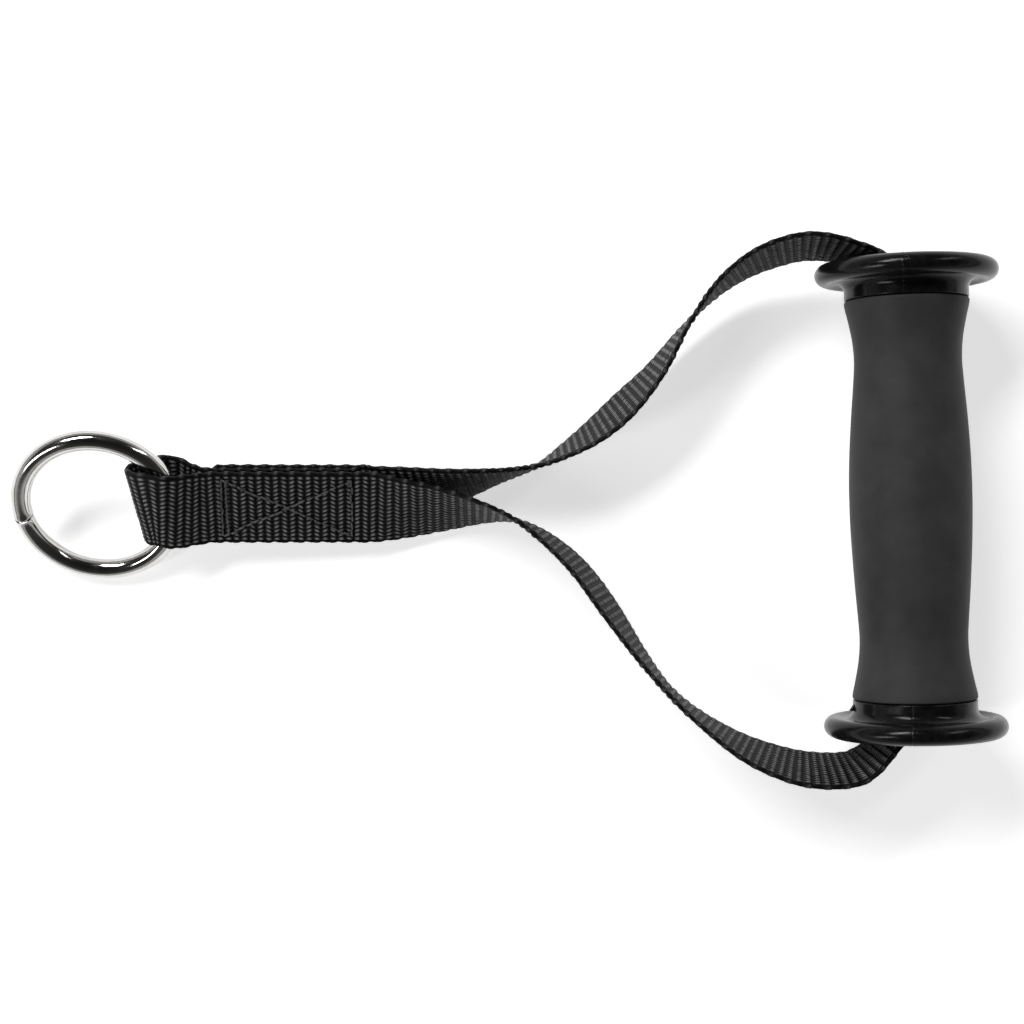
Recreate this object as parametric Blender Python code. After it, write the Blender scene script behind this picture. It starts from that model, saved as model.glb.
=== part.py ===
"""Stirrup exercise handle: one webbing loop through a tubular grip, sewn around a welded ring.

The object lies on a table. +Z is up, the ring is at -X, the grip at +X with its axis along Y.
The origin is the middle of the underside. All lengths below are millimetres until scaled by MM.
"""

import math

import bmesh
import bpy
from mathutils import Matrix, Vector

MM = 0.001

# Webbing
WEB_WIDTH = 25.4
WEB_THICK = 1.9
WEB_CHAMFER = 0.5
LAYER_PITCH = 2.2
STEP_LENGTH = 4.0

# Sewn part: three flat layers in one leaning plane
TAB_CENTRE = (-68.0, 2.1, 13.5)
TAB_PITCH = 4.8
TAB_ROLL = 32.0
LOOP_HINGE_ALONG = -26.0
TAIL_END_ALONG = 22.5
BACK_END_ALONG = -22.5
TAB_HINGE_ALONG = 27.0
LOOP_OPENING = ((-23.2, 0.08), (-26.0, 0.9))
LOOP_GAP = 1.7
TAB_GAP = 3.3

# Stitching, in the plane of the sewn part
STITCH_LEFT = -19.5
STITCH_RIGHT = 20.5
STITCH_HALF_WIDTH = 10.2
THREAD_WIDTH = 0.9
THREAD_HEIGHT = 0.5
THREAD_LIFT = 0.3
THREAD_STAGGER = 0.04

# Ring
RING_CENTRE = (-125.9, 1.4, 16.05)
RING_RADIUS = 23.6
RING_WIRE = 3.1
RING_TILT = 33.2
RING_SEGMENTS = 56
WIRE_SIDES = 12
WELD_ANGLE = 187.0
WELD_SWELL = 0.12
WELD_SPREAD = 5.0
PIVOT_POINT = (-104.3, 3.33, 17.25)
PIVOT_CHORD = (-3.0, 21.3, 13.9)

# Handle
HANDLE_CENTRE = (123.2, 3.4, 27.4)
HANDLE_LEAN = 1.27
BORE_RADIUS = 13.7
TUBE_RADIUS = 14.7
TUBE_HALF = 66.0
FIT_GAP = 0.3
GRIP_HALF = 60.3
GRIP_CONTOUR = (
    (0.0, 18.3), (12.0, 18.05), (25.0, 17.3), (36.5, 16.4), (42.5, 16.1),
    (48.5, 16.5), (54.5, 17.6), (58.5, 18.5), (60.3, 18.7),
)
COLLAR_RADIUS = 18.6
COLLAR_LENGTH = 5.0
FLANGE_RADIUS = 27.4
FLANGE_THICK = 6.2
MOUTH_FLARE = 5.2
TURNED_SEGMENTS = 44
NIB_SIZE = (2.2, 1.4, 3.0)

# Route of the webbing around the ring: x, y, z, yaw and roll of its width
FOLD_ROUTE = (
    (-97.6, 4.3, 13.0, 0.5, 32.5),
    (-102.5, 6.4, 11.2, 3.0, 33.0),
    (-108.0, 5.6, 11.5, 6.0, 31.0),
    (-112.3, 3.7, 13.1, 9.0, 28.0),
    (-114.0, 2.1, 16.0, 11.0, 26.0),
    (-112.3, 0.7, 19.6, 10.0, 27.0),
    (-108.0, 0.1, 21.9, 7.0, 30.0),
    (-102.5, -0.8, 22.5, 3.0, 32.0),
    (-97.2, -0.1, 20.0, 0.5, 32.0),
)

# Routes of the two arms from the sewn part to the flanges: x, y, z and roll of the width
LOWER_ARM = (
    (-32.5, 0.5, 13.0, 43.0), (-20.0, 0.3, 12.7, 58.0), (-7.0, -0.7, 12.9, 76.0),
    (4.0, -3.2, 13.0, 90.0), (14.0, -9.4, 13.7, 98.0), (23.5, -18.3, 14.7, 102.0),
    (32.5, -30.5, 16.0, 103.0), (42.0, -44.5, 17.4, 98.0), (50.5, -55.3, 19.0, 94.0),
    (60.0, -63.7, 20.9, 96.0), (73.5, -72.4, 23.7, 103.0), (86.5, -77.4, 26.1, 107.0),
    (96.0, -78.9, 27.1, 107.0),
)
UPPER_ARM = (
    (-32.5, 4.8, 10.7, 46.0), (-20.0, 6.9, 11.9, 62.0), (-8.0, 9.4, 12.8, 76.0),
    (0.0, 11.2, 12.95, 84.0), (10.0, 13.9, 13.2, 91.0), (19.0, 18.8, 14.0, 100.0),
    (28.0, 24.8, 15.2, 107.0), (37.0, 32.7, 16.6, 109.0), (46.5, 43.1, 18.2, 102.0),
    (55.5, 56.3, 20.0, 92.0), (64.5, 67.1, 21.8, 84.0), (73.5, 74.1, 23.7, 79.5),
    (82.5, 78.2, 25.4, 77.5), (91.5, 80.2, 26.7, 79.0),
)

# Routes into the two mouths: distance beside the handle's axis, distance from its middle, roll
LOWER_MOUTH = (
    (-20.0, 81.4, 105.0), (-15.5, 79.3, 102.0), (-12.0, 76.4, 99.0), (-8.9, 73.2, 97.0),
    (-5.2, 70.4, 93.0), (-2.3, 67.2, 91.0), (-0.8, 63.2, 90.0), (0.0, 54.0, 90.0),
)
UPPER_MOUTH = (
    (-21.6, 76.6, 82.0), (-17.3, 75.4, 84.0), (-13.2, 74.5, 86.0), (-9.3, 72.9, 88.0),
    (-5.3, 70.4, 89.0), (-2.3, 67.2, 90.0), (-0.8, 63.2, 90.0), (0.0, 54.0, 90.0),
)
MOUTH_CUT = 5


def clear_scene():
    for thing in list(bpy.data.objects):
        bpy.data.objects.remove(thing)


def material(name, colour, roughness, metallic=0.0):
    made = bpy.data.materials.new(name)
    made.use_nodes = True
    shader = made.node_tree.nodes["Principled BSDF"]
    shader.inputs["Base Color"].default_value = (*colour, 1.0)
    shader.inputs["Roughness"].default_value = roughness
    shader.inputs["Metallic"].default_value = metallic
    return made


def webbing_material(name):
    return material(name, (0.014, 0.014, 0.015), 0.75)


def thread_material(name):
    return material(name, (0.025, 0.025, 0.026), 0.55)


def steel_material(name):
    return material(name, (0.78, 0.77, 0.75), 0.12, 1.0)


def cap_material(name):
    return material(name, (0.012, 0.012, 0.013), 0.3)


def tube_material(name):
    return material(name, (0.03, 0.03, 0.03), 0.45)


def grip_material(name):
    return material(name, (0.045, 0.045, 0.047), 0.65)


def empty(name, place):
    made = bpy.data.objects.new(name, None)
    bpy.context.scene.collection.objects.link(made)
    made.matrix_world = place
    return made


def add_object(name, shape, surface, parent):
    """Finish a bmesh drawn in world millimetres as an object whose origin is its parent's."""
    bmesh.ops.recalc_face_normals(shape, faces=shape.faces)
    mesh = bpy.data.meshes.new(name)
    shape.to_mesh(mesh)
    shape.free()
    mesh.transform(parent.matrix_world.inverted() @ Matrix.Scale(MM, 4))
    mesh.shade_smooth()
    mesh.set_sharp_from_angle(angle=math.radians(35.0))
    mesh.materials.append(surface)
    made = bpy.data.objects.new(name, mesh)
    bpy.context.scene.collection.objects.link(made)
    made.parent = parent
    return made


# ---- frames ----------------------------------------------------------------


def width_vector(yaw, roll):
    """Unit vector across the webbing, level at roll 0 and upright at roll 90."""
    turn = math.radians(yaw)
    lean = math.radians(roll)
    return Vector((-math.sin(turn) * math.cos(lean), math.cos(turn) * math.cos(lean), math.sin(lean)))


def tab_axes():
    """Directions along, across and out of the sewn part."""
    pitch = math.radians(TAB_PITCH)
    along = Vector((math.cos(pitch), 0.0, -math.sin(pitch)))
    across = width_vector(0.0, TAB_ROLL)
    across = (across - along * across.dot(along)).normalized()
    return along, across, along.cross(across)


def tab_point(along_mm, layer, across_mm=0.0, lift=0.0):
    along, across, out = tab_axes()
    return Vector(TAB_CENTRE) + along * along_mm + across * across_mm + out * (layer * LAYER_PITCH + lift)


def handle_place():
    """Matrix of the handle: local Z is its axis, towards +Y, and local X points away from the ring."""
    lean = math.radians(HANDLE_LEAN)
    axis = Vector((-math.sin(lean), math.cos(lean), 0.0))
    side = Vector((math.cos(lean), math.sin(lean), 0.0))
    upright = axis.cross(side)
    turn = Matrix((side, upright, axis)).transposed().to_4x4()
    return Matrix.Translation(Vector(HANDLE_CENTRE) * MM) @ turn


def handle_point(beside, outward):
    turn = handle_place().to_3x3()
    return Vector(HANDLE_CENTRE) + turn @ Vector((beside, 0.0, outward))


# ---- the webbing's route ---------------------------------------------------


def tab_stations(places, layer):
    across = tab_axes()[1]
    return [(tab_point(place, layer), across.copy()) for place in places]


def opening_stations(layer, side):
    """Stations where one run starts to part from the others, on its way to the fold."""
    across = tab_axes()[1]
    return [(tab_point(place, layer, 0.0, side * lift), across.copy()) for place, lift in LOOP_OPENING]


def fold_stations():
    return [(Vector((x, y, z)), width_vector(yaw, roll)) for x, y, z, yaw, roll in FOLD_ROUTE]


def arm_stations(before, arm, mouth, outward_sign):
    """Stations of one arm, whose width leans by its roll about the arm's own level heading."""
    points = [Vector((x, y, z)) for x, y, z, roll in arm]
    points += [handle_point(beside, outward_sign * outward) for beside, outward, roll in mouth]
    rolls = [row[-1] for row in arm + mouth]
    ahead = points[1:] + [handle_point(0.0, 0.0)]
    behind = [before] + points[:-1]
    found = []
    for point, last, following, roll in zip(points, behind, ahead, rolls):
        heading = following - last
        yaw = math.degrees(math.atan2(heading.y, heading.x))
        found.append((point, width_vector(yaw, roll)))
    return found


def webbing_stations():
    """Stations from the hidden end, round the ring, down one arm, through the grip and back."""
    tail = tab_stations((TAIL_END_ALONG, 8.0, -9.0, -21.0), 0) + opening_stations(0, -1.0)
    front = opening_stations(1, 1.0)[::-1] + tab_stations((-21.0, -9.0, 9.0, 22.0, TAB_HINGE_ALONG), 1)
    back = tab_stations((BACK_END_ALONG, -7.0, 9.0, 22.0, TAB_HINGE_ALONG), -1)
    lower = arm_stations(front[-1][0], LOWER_ARM, LOWER_MOUTH, -1.0)
    upper = arm_stations(back[-1][0], UPPER_ARM, UPPER_MOUTH, 1.0)
    marks = {}
    route = []
    for name, stretch in (
        ("tail", tail), ("fold", fold_stations()), ("front", front),
        ("lower", lower), ("upper", upper[::-1]), ("back", back[::-1]),
    ):
        marks[name] = len(route)
        route += stretch
    marks["end"] = len(route)
    return route, marks


def catmull(before, start, end, after, share):
    return 0.5 * (
        2.0 * start + (end - before) * share
        + (2.0 * before - 5.0 * start + 4.0 * end - after) * share**2
        + (3.0 * start - before - 3.0 * end + after) * share**3
    )


def smooth_route(route, steps=12):
    """Fine points along the route: place, width direction and distance, and each station's distance."""
    fine = []
    at_station = []
    travelled = 0.0
    for index in range(len(route) - 1):
        four = [route[min(max(index + k, 0), len(route) - 1)] for k in (-1, 0, 1, 2)]
        for step in range(steps):
            share = step / steps
            place = catmull(*(station[0] for station in four), share)
            width = catmull(*(station[1] for station in four), share)
            if fine:
                travelled += (place - fine[-1][0]).length
            if step == 0:
                at_station.append(travelled)
            fine.append((place, width, travelled))
    travelled += (route[-1][0] - fine[-1][0]).length
    at_station.append(travelled)
    fine.append((route[-1][0], route[-1][1], travelled))
    return fine, at_station


def frame_at(fine, distance):
    """Place, width direction and face normal at a distance along the route."""
    index = 1
    while index < len(fine) - 1 and fine[index][2] < distance:
        index += 1
    low, high = fine[index - 1], fine[index]
    share = (distance - low[2]) / max(high[2] - low[2], 1e-9)
    place = low[0].lerp(high[0], share)
    forward = (high[0] - low[0]).normalized()
    width = low[1].lerp(high[1], share)
    width = (width - forward * width.dot(forward)).normalized()
    return place, width, forward.cross(width)


def webbing_section(place, width, normal):
    """Points around the webbing's cross-section, with its selvages chamfered."""
    half = WEB_WIDTH / 2.0
    thick = WEB_THICK / 2.0
    inner = half - WEB_CHAMFER
    thin = thick - WEB_CHAMFER
    corners = (
        (half, -thin), (half, thin), (inner, thick), (-inner, thick),
        (-half, thin), (-half, -thin), (-inner, -thick), (inner, -thick),
    )
    return [place + width * across + normal * out for across, out in corners]


def webbing_piece(name, fine, start, end, parent):
    """One closed length of webbing between two distances along the route."""
    shape = bmesh.new()
    count = max(2, round((end - start) / STEP_LENGTH))
    rings = []
    for step in range(count + 1):
        frame = frame_at(fine, start + (end - start) * step / count)
        rings.append([shape.verts.new(point) for point in webbing_section(*frame)])
    for low, high in zip(rings, rings[1:]):
        for corner in range(len(low)):
            following = (corner + 1) % len(low)
            shape.faces.new((low[corner], low[following], high[following], high[corner]))
    shape.faces.new(rings[0][::-1])
    shape.faces.new(rings[-1])
    return add_object(name, shape, webbing_material(name), parent)


def build_webbing(arms, tab, loop):
    route, marks = webbing_stations()
    fine, at = smooth_route(route)
    loop_start = at[marks["fold"] - 1]
    loop_end = at[marks["front"]]
    front_end = at[marks["lower"] - 1]
    back_start = at[marks["back"]]
    mouth_in = at[marks["upper"] - MOUTH_CUT]
    mouth_out = at[marks["upper"] + MOUTH_CUT - 1]
    joint = FIT_GAP / 2.0
    webbing_piece("webbing_hidden_end", fine, 0.0, loop_start - LOOP_GAP, tab)
    webbing_piece("webbing_ring_fold", fine, loop_start + LOOP_GAP, loop_end - LOOP_GAP, loop)
    webbing_piece("webbing_front_layer", fine, loop_end + LOOP_GAP, front_end - TAB_GAP, tab)
    webbing_piece("webbing_lower_arm", fine, front_end + TAB_GAP, mouth_in - joint, arms)
    webbing_piece("webbing_tube_run", fine, mouth_in + joint, mouth_out - joint, arms)
    webbing_piece("webbing_upper_arm", fine, mouth_out + joint, back_start - TAB_GAP, arms)
    webbing_piece("webbing_back_layer", fine, back_start + TAB_GAP, fine[-1][2], tab)


# ---- stitching -------------------------------------------------------------


def thread_bar(start, end, layer, side, stagger):
    """One straight row of thread on a face of the sewn part, staggered so that crossing rows overlap."""
    lift = side * (WEB_THICK / 2.0 + THREAD_LIFT + stagger)
    low = tab_point(start[0], layer, start[1], lift)
    high = tab_point(end[0], layer, end[1], lift)
    forward = (high - low).normalized()
    out = tab_axes()[2] * side
    aside = forward.cross(out) * (THREAD_WIDTH / 2.0)
    shape = bmesh.new()
    corners = []
    for place in (low, high):
        rise = out * (THREAD_HEIGHT + stagger)
        for offset in (-aside, aside, aside + rise, -aside + rise):
            corners.append(shape.verts.new(place + offset))
    for corner in range(4):
        following = (corner + 1) % 4
        shape.faces.new((corners[corner], corners[following], corners[following + 4], corners[corner + 4]))
    shape.faces.new(corners[3::-1])
    shape.faces.new(corners[4:])
    return shape


def build_stitching(name, layer, side, parent):
    """Two bars across the webbing and the cross between them, joined into one thread."""
    wide = STITCH_HALF_WIDTH
    reach = THREAD_WIDTH / 2.0
    rows = (
        ((STITCH_LEFT, -wide), (STITCH_LEFT, wide)),
        ((STITCH_RIGHT, -wide), (STITCH_RIGHT, wide)),
        ((STITCH_LEFT - reach / 2.0, -wide + reach), (STITCH_RIGHT + reach / 2.0, wide - reach)),
        ((STITCH_LEFT - reach / 2.0, wide - reach), (STITCH_RIGHT + reach / 2.0, -wide + reach)),
    )
    surface = thread_material(name)
    whole = None
    for number, (start, end) in enumerate(rows):
        shape = thread_bar(start, end, layer, side, THREAD_STAGGER * number)
        made = add_object(f"{name}_row_{number}" if number else name, shape, surface, parent)
        if number:
            join(whole, made)
        else:
            whole = made
    return whole


def join(whole, part):
    """Boolean union of a helper shape into a piece; the helper itself is left out."""
    part.hide_render = True
    part.display_type = "WIRE"
    union = whole.modifiers.new(part.name, "BOOLEAN")
    union.operation = "UNION"
    union.solver = "EXACT"
    union.object = part


# ---- ring ------------------------------------------------------------------


def build_ring(parent):
    """Round steel wire bent to a ring, with the slight swelling of its butt weld."""
    tilt = math.radians(RING_TILT)
    level = Vector((1.0, 0.0, 0.0))
    raised = Vector((0.0, math.cos(tilt), math.sin(tilt)))
    normal = level.cross(raised)
    shape = bmesh.new()
    rings = []
    for turn in range(RING_SEGMENTS):
        degrees = 360.0 * turn / RING_SEGMENTS
        angle = math.radians(degrees)
        swell = WELD_SWELL * math.exp(-(((degrees - WELD_ANGLE) / WELD_SPREAD) ** 2))
        outward = level * math.cos(angle) + raised * math.sin(angle)
        centre = Vector(RING_CENTRE) + outward * RING_RADIUS
        around = []
        for side in range(WIRE_SIDES):
            turn_angle = 2.0 * math.pi * side / WIRE_SIDES
            offset = outward * math.cos(turn_angle) + normal * math.sin(turn_angle)
            around.append(shape.verts.new(centre + offset * (RING_WIRE + swell)))
        rings.append(around)
    for low, high in zip(rings, rings[1:] + rings[:1]):
        for side in range(WIRE_SIDES):
            following = (side + 1) % WIRE_SIDES
            shape.faces.new((low[side], low[following], high[following], high[side]))
    return add_object("welded_ring", shape, steel_material("welded_ring"), parent)


# ---- handle ----------------------------------------------------------------


def turned(name, outline, place, surface, parent):
    """Solid turned about the local Z axis of a place, from a closed outline of radius and height."""
    shape = bmesh.new()
    corners = [shape.verts.new((radius, 0.0, height)) for radius, height in outline]
    edges = [shape.edges.new((a, b)) for a, b in zip(corners, corners[1:] + corners[:1])]
    bmesh.ops.spin(
        shape, geom=corners + edges, axis=(0.0, 0.0, 1.0), cent=(0.0, 0.0, 0.0),
        steps=TURNED_SEGMENTS, angle=2.0 * math.pi, use_duplicate=False,
    )
    bmesh.ops.remove_doubles(shape, verts=shape.verts, dist=0.0001)
    in_millimetres = Matrix.Translation(place.translation / MM) @ place.to_3x3().to_4x4()
    bmesh.ops.transform(shape, matrix=in_millimetres, verts=shape.verts)
    return add_object(name, shape, surface, parent)


def arc(centre, radius, start, end, count):
    """Points of a circular arc in the outline's plane, angles in degrees."""
    turns = [math.radians(start + (end - start) * step / count) for step in range(count + 1)]
    return [(centre[0] + radius * math.cos(turn), centre[1] + radius * math.sin(turn)) for turn in turns]


def smooth_contour(points, per_span):
    """Radii eased through the contour's points, as height and radius pairs."""
    eased = []
    for index in range(len(points) - 1):
        four = [Vector(points[min(max(index + k, 0), len(points) - 1)]) for k in (-1, 0, 1, 2)]
        eased += [tuple(catmull(*four, step / per_span)) for step in range(per_span)]
    return eased + [points[-1]]


def build_grip(parent):
    """Contoured rubber sleeve: full in the palm, waisted twice, flared at its ends."""
    half = smooth_contour(GRIP_CONTOUR, 2)
    inner = TUBE_RADIUS + FIT_GAP
    outline = [(radius, height) for height, radius in half[::-1]]
    outline += [(radius, -height) for height, radius in half[1:]]
    outline += [(inner, -GRIP_HALF), (inner, GRIP_HALF)]
    return turned("grip_sleeve", outline, handle_place(), grip_material("grip_sleeve"), parent)


def build_tube(parent):
    outline = (
        (TUBE_RADIUS, TUBE_HALF), (TUBE_RADIUS, -TUBE_HALF), (BORE_RADIUS, -TUBE_HALF), (BORE_RADIUS, TUBE_HALF),
    )
    return turned("core_tube", outline, handle_place(), tube_material("core_tube"), parent)


def cap_outline():
    """Half section of an end cap: socket, collar, dished flange with a round rim, flared mouth."""
    collar_start = GRIP_HALF + FIT_GAP
    flange_start = collar_start + COLLAR_LENGTH
    flange_end = flange_start + FLANGE_THICK
    socket = TUBE_RADIUS + FIT_GAP
    shoulder = TUBE_HALF + FIT_GAP
    rim = FLANGE_THICK / 2.0
    rim_centre = (FLANGE_RADIUS - rim, flange_start + rim)
    fillet = 1.8
    web = flange_start + 0.7
    flare_centre = (BORE_RADIUS + MOUTH_FLARE, flange_end - MOUTH_FLARE)
    outline = [(socket, collar_start), (COLLAR_RADIUS - 0.25, collar_start), (COLLAR_RADIUS, collar_start + 0.25)]
    outline += arc((COLLAR_RADIUS + fillet, web - fillet), fillet, 180.0, 90.0, 3)
    outline += arc(rim_centre, rim, -112.0, 112.0, 10)
    outline += [(flare_centre[0] + 2.2, flange_end - 0.5)]
    outline += arc(flare_centre, MOUTH_FLARE, 90.0, 180.0, 6)
    outline += [(BORE_RADIUS, shoulder), (socket, shoulder)]
    return outline


def build_cap(name, over, parent):
    """End cap with a small gusset nib in the corner of collar and flange; over turns it to the other end."""
    place = handle_place()
    if over:
        place = place @ Matrix.Rotation(math.pi, 4, "X")
    cap = turned(name, cap_outline(), place, cap_material(name), parent)
    deep, thick, tall = NIB_SIZE
    nib = bmesh.new()
    bmesh.ops.create_cube(nib, size=1.0)
    flange_start = GRIP_HALF + FIT_GAP + COLLAR_LENGTH
    shift = Matrix.Translation((-(COLLAR_RADIUS + deep / 2.0 - 0.5), 0.0, flange_start - tall / 2.0 + 1.4))
    size = Matrix.Diagonal((deep, thick, tall, 1.0))
    in_millimetres = Matrix.Translation(place.translation / MM) @ place.to_3x3().to_4x4()
    bmesh.ops.transform(nib, matrix=in_millimetres @ shift @ size, verts=nib.verts)
    join(cap, add_object(f"{name}_nib", nib, cap.data.materials[0], parent))
    return cap


def build_handle(parent):
    build_grip(parent)
    build_tube(parent)
    build_cap("end_cap_upper", False, parent)
    build_cap("end_cap_lower", True, parent)


def hinge_place(point, axis):
    """Matrix of a hinge: its local Z is the hinge's axis."""
    turn = axis.to_track_quat("Z", "X").to_matrix().to_4x4()
    return Matrix.Translation(point * MM) @ turn


def build():
    clear_scene()
    across = tab_axes()[1]
    arms = empty("strap_arms", Matrix.Translation(Vector((0.0, 0.0, 0.0))))
    tab = empty("tab_hinge", hinge_place(tab_point(TAB_HINGE_ALONG, 0), across))
    loop = empty("loop_hinge", hinge_place(tab_point(LOOP_HINGE_ALONG, 0.5), across))
    ring = empty("ring_hinge", hinge_place(Vector(PIVOT_POINT), Vector(PIVOT_CHORD).normalized()))
    handle = empty("handle_axis", handle_place())
    bpy.context.view_layer.update()
    build_webbing(arms, tab, loop)
    build_stitching("stitching_needle_thread", 1, 1.0, tab)
    build_stitching("stitching_bobbin_thread", -1, -1.0, tab)
    build_ring(ring)
    build_handle(handle)


build()
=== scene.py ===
"""Looks of the stirrup handle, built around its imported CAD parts.

Each visible piece is a detailed mesh that replaces its plain CAD solid: ribbed webbing, single
stitches, a plated ring with its weld, turned end caps with their moulding marks, and a rubber grip.
The route of the webbing is the CAD part's own. Lengths are millimetres until scaled by MM.
"""

import math

import bpy
import numpy as np
from mathutils import Matrix, Vector


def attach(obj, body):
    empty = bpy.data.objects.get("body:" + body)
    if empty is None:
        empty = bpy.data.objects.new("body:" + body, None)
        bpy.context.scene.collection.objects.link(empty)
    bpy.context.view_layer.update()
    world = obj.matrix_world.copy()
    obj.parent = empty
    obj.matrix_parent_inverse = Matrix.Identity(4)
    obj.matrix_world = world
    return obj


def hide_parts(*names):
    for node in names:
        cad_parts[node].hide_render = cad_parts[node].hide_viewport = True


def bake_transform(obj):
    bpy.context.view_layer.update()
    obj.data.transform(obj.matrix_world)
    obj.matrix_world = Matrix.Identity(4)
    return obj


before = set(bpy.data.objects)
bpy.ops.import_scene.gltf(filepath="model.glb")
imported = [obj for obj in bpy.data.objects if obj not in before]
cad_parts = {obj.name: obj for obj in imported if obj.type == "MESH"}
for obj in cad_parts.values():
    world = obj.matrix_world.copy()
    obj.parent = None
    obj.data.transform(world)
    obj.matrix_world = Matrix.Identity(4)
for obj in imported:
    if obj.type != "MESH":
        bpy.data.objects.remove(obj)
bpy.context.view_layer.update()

MM = 0.001

# ---- sizes shared with the CAD part ----------------------------------------

WEB_WIDTH = 25.4
WEB_THICK = 1.9
LAYER_PITCH = 2.2

TAB_CENTRE = (-68.0, 2.1, 13.5)
TAB_PITCH = 4.8
TAB_ROLL = 32.0
LOOP_HINGE_ALONG = -26.0
TAIL_END_ALONG = 22.5
BACK_END_ALONG = -22.5
TAB_HINGE_ALONG = 27.0
LOOP_OPENING = ((-23.2, 0.08), (-26.0, 0.9))

STITCH_LEFT = -19.5
STITCH_RIGHT = 20.5
STITCH_HALF_WIDTH = 10.2

RING_CENTRE = (-125.9, 1.4, 16.05)
RING_RADIUS = 23.6
RING_WIRE = 3.1
RING_TILT = 33.2
WELD_ANGLE = 187.0

HANDLE_CENTRE = (123.2, 3.4, 27.4)
HANDLE_LEAN = 1.27
BORE_RADIUS = 13.7
TUBE_RADIUS = 14.7
TUBE_HALF = 66.0
FIT_GAP = 0.3
GRIP_HALF = 60.3
GRIP_CONTOUR = (
    (0.0, 18.3), (12.0, 18.05), (25.0, 17.3), (36.5, 16.4), (42.5, 16.1),
    (48.5, 16.5), (54.5, 17.6), (58.5, 18.5), (60.3, 18.7),
)
COLLAR_RADIUS = 18.6
COLLAR_LENGTH = 5.0
FLANGE_RADIUS = 27.4
FLANGE_THICK = 6.2
MOUTH_FLARE = 5.2

FOLD_ROUTE = (
    (-97.6, 4.3, 13.0, 0.5, 32.5),
    (-102.5, 6.4, 11.2, 3.0, 33.0),
    (-108.0, 5.6, 11.5, 6.0, 31.0),
    (-112.3, 3.7, 13.1, 9.0, 28.0),
    (-114.0, 2.1, 16.0, 11.0, 26.0),
    (-112.3, 0.7, 19.6, 10.0, 27.0),
    (-108.0, 0.1, 21.9, 7.0, 30.0),
    (-102.5, -0.8, 22.5, 3.0, 32.0),
    (-97.2, -0.1, 20.0, 0.5, 32.0),
)
LOWER_ARM = (
    (-32.5, 0.5, 13.0, 43.0), (-20.0, 0.3, 12.7, 58.0), (-7.0, -0.7, 12.9, 76.0),
    (4.0, -3.2, 13.0, 90.0), (14.0, -9.4, 13.7, 98.0), (23.5, -18.3, 14.7, 102.0),
    (32.5, -30.5, 16.0, 103.0), (42.0, -44.5, 17.4, 98.0), (50.5, -55.3, 19.0, 94.0),
    (60.0, -63.7, 20.9, 96.0), (73.5, -72.4, 23.7, 103.0), (86.5, -77.4, 26.1, 107.0),
    (96.0, -78.9, 27.1, 107.0),
)
UPPER_ARM = (
    (-32.5, 4.8, 10.7, 46.0), (-20.0, 6.9, 11.9, 62.0), (-8.0, 9.4, 12.8, 76.0),
    (0.0, 11.2, 12.95, 84.0), (10.0, 13.9, 13.2, 91.0), (19.0, 18.8, 14.0, 100.0),
    (28.0, 24.8, 15.2, 107.0), (37.0, 32.7, 16.6, 109.0), (46.5, 43.1, 18.2, 102.0),
    (55.5, 56.3, 20.0, 92.0), (64.5, 67.1, 21.8, 84.0), (73.5, 74.1, 23.7, 79.5),
    (82.5, 78.2, 25.4, 77.5), (91.5, 80.2, 26.7, 79.0),
)
LOWER_MOUTH = (
    (-20.0, 81.4, 105.0), (-15.5, 79.3, 102.0), (-12.0, 76.4, 99.0), (-8.9, 73.2, 97.0),
    (-5.2, 70.4, 93.0), (-2.3, 67.2, 91.0), (-0.8, 63.2, 90.0), (0.0, 54.0, 90.0),
)
UPPER_MOUTH = (
    (-21.6, 76.6, 82.0), (-17.3, 75.4, 84.0), (-13.2, 74.5, 86.0), (-9.3, 72.9, 88.0),
    (-5.3, 70.4, 89.0), (-2.3, 67.2, 90.0), (-0.8, 63.2, 90.0), (0.0, 54.0, 90.0),
)

# ---- sizes of the looks ----------------------------------------------------

RIBS = 295                                   # ribs of the weave along the whole length
RIB_SAMPLES = (0.0, 0.15, 0.38, 0.62, 0.85)  # places along one rib
RIB_ROUNDNESS = 0.6                          # power of the sine that rounds a rib
RIB_UNEVENNESS = 0.05
BEADS = 16                                   # warp yarns side by side in a rib
BEAD_SAMPLES = (0.0, 0.16, 0.38, 0.62, 0.84)
BEAD_ROUNDNESS = 0.65
BEAD_UNEVENNESS = 0.09
BEAD_SLANT = 1.15                            # how far a yarn leans across one rib
BEAD_SLANT_END = 11.4                        # distance from the middle where the lean has died out
FACE_FLOOR = 0.38                            # half thickness at the bottom of the weave's grooves
BETWEEN_BEADS = 0.12                         # share of a rib's height left between its yarns
BACK_FACE_SHIFT = 40.0                       # moves the back face's texture away from the front's
EDGE_RADIUS = 0.95
EDGE_ANGLES = (60.0, 30.0, 0.0, -30.0, -60.0)
EDGE_BUMP = 0.5                              # height of the edges' knots at the ring's end
EDGE_CALM_START = -40.0                      # from this X on, the knots sink to half their height
EDGE_CALM_RUN = 40.0

STITCH_LENGTH = 2.7
THREAD_RADIUS = 0.33
STITCH_SINK = 0.42
STITCH_GROOVE = 0.55                         # width of the groove that a stitch lies in
PUCKER_DEPTH = 0.2                           # wider dip of the sewn faces about each row
PUCKER_WIDTH = 2.0
STITCH_STRAY = 0.16                          # how far one stitch strays from its row
STITCH_SWING = 1.2                           # how far it turns out of line

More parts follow.
